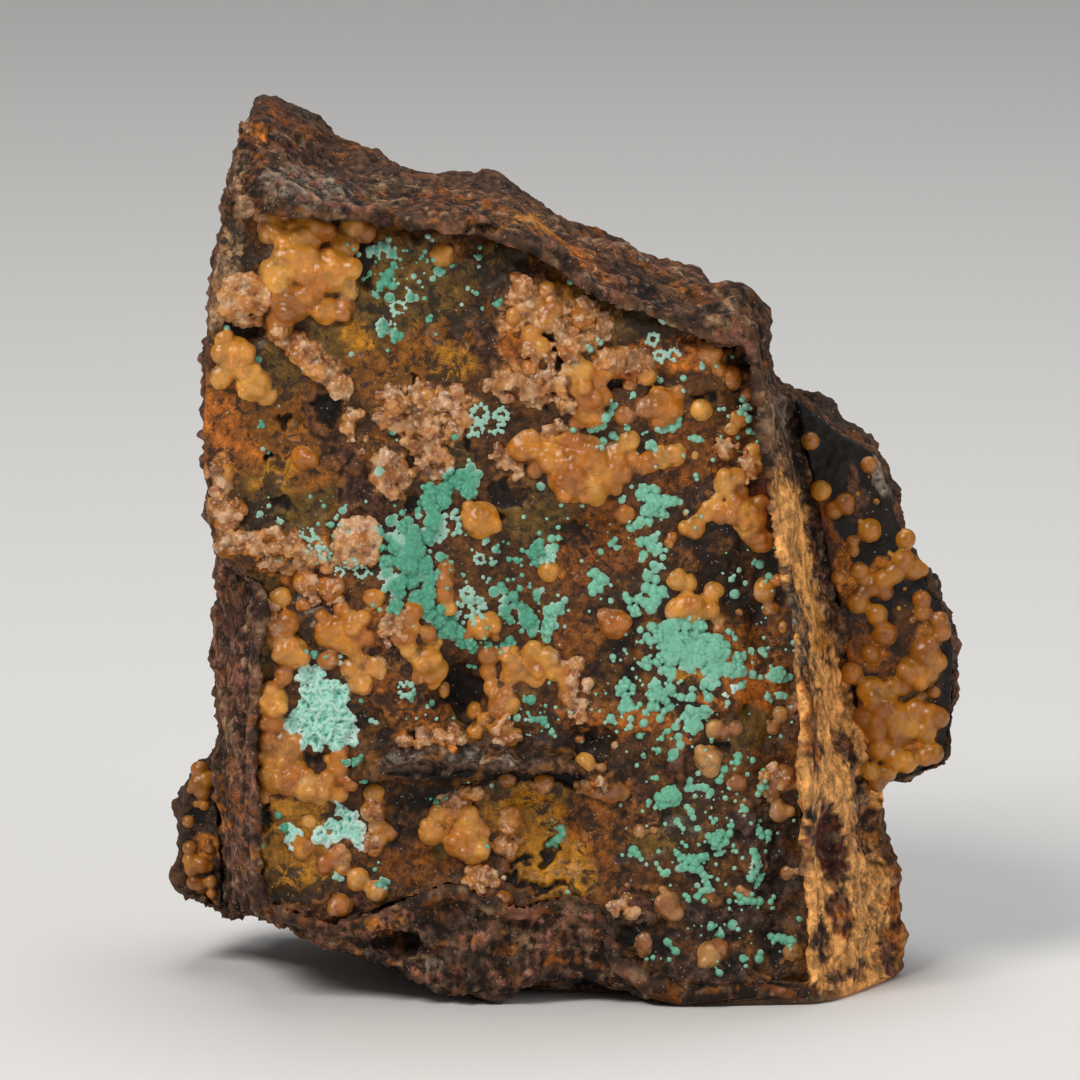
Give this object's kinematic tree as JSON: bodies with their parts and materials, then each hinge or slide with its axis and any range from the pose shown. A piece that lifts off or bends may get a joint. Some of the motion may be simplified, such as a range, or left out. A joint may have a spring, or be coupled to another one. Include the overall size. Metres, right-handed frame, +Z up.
{
  "type": "malachite on smithsonite specimen",
  "caption": "Standing block of brown iron-rich rock with a sunken face of waxy orange smithsonite lumps, dotted with velvety green malachite balls and pads.",
  "frame": {"origin": "centre of the bounding box's underside, on the flat base that the block stands on", "axes": "+X to the right seen from the front, +Y from the mineral face to the rough back, +Z up"},
  "size_m": [0.0803, 0.0416, 0.0888],
  "materials": {
    "gossan": "rough broken rock, dull red-brown to grey",
    "smithsonite": "waxy, slightly translucent botryoidal crust",
    "malachite": "velvety, matt",
    "pale_malachite": "spongy, matt"
  },
  "bodies": {
    "root": {"host_rock": "gossan", "smithsonite_crust": "smithsonite", "shelf_smithsonite": "smithsonite", "knob_smithsonite": "smithsonite", "malachite_upper_left": "malachite", "malachite_lace_centre": "malachite", "malachite_left_patch": "malachite", "malachite_lace_left": "malachite", "malachite_ring": "malachite", "malachite_centre_balls": "malachite", "malachite_centre_pair": "malachite", "malachite_centre_branch": "malachite", "malachite_row": "malachite", "malachite_upper_centre": "malachite", "malachite_crescent": "malachite", "malachite_star": "malachite", "malachite_centre_column": "malachite", "malachite_small_fan": "malachite", "malachite_right_patch": "malachite", "malachite_trail_left": "malachite", "malachite_trail_middle": "malachite", "malachite_trail_right": "malachite", "malachite_edge_ball": "malachite", "malachite_large_ball": "malachite", "malachite_lower_trail": "malachite", "malachite_lower_star": "malachite", "malachite_lower_ball": "malachite", "malachite_lower_right": "malachite", "malachite_bottom": "malachite", "malachite_corner": "malachite", "malachite_mint_pad": "pale_malachite", "malachite_mint_pad_lower": "pale_malachite", "malachite_mint_small": "pale_malachite", "malachite_ochre_patch": "malachite"}
  },
  "joints": []
}
